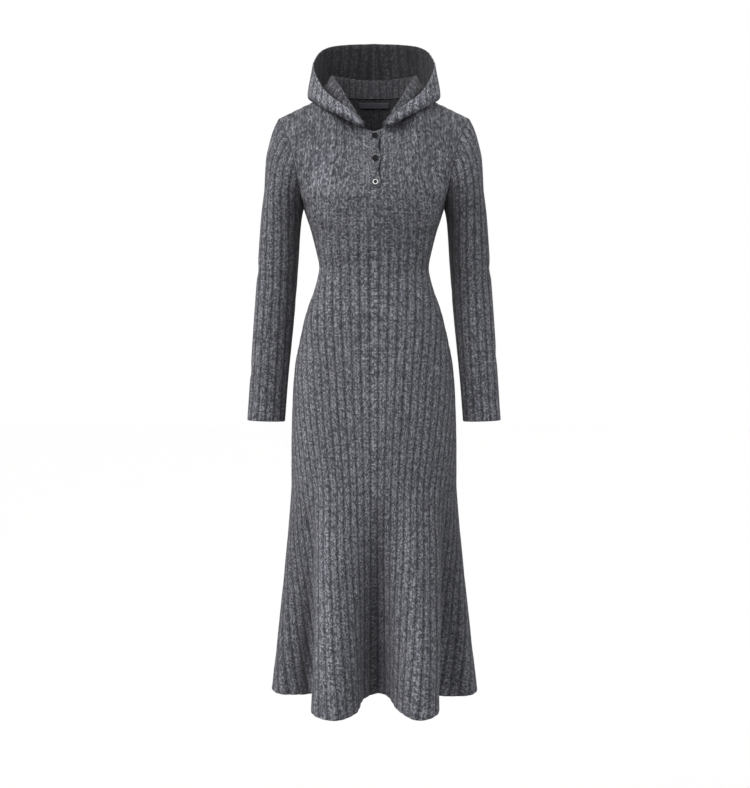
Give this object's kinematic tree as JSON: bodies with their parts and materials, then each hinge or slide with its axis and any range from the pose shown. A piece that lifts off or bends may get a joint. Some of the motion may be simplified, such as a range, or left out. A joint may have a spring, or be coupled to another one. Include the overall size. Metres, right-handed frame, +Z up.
{
  "type": "sweater dress",
  "caption": "Long-sleeved full-length sweater dress in wide rib knit with a hood worn down, a short buttoned placket, a fitted waist and a fluted hem, in worn shape.",
  "frame": {"origin": "midway between the two shoulder neck points, where the wearer's shoulders hold the dress up", "axes": "+Z up, the front faces -Y, +X to the viewer's right from the front"},
  "size_m": [0.4944, 0.3131, 1.3073],
  "materials": {
    "knit": "marled charcoal rib knit, matt",
    "label": "woven, plain",
    "button_dark": "satin",
    "button_pale": "glossy"
  },
  "bodies": {
    "root": {"front": "knit", "back": "knit", "sleeve_left": "knit", "sleeve_right": "knit", "hood_left": "knit", "hood_right": "knit", "placket": "knit", "button_1": "button_dark", "button_2": "button_dark", "button_3": "button_pale", "label": "label"}
  },
  "joints": []
}
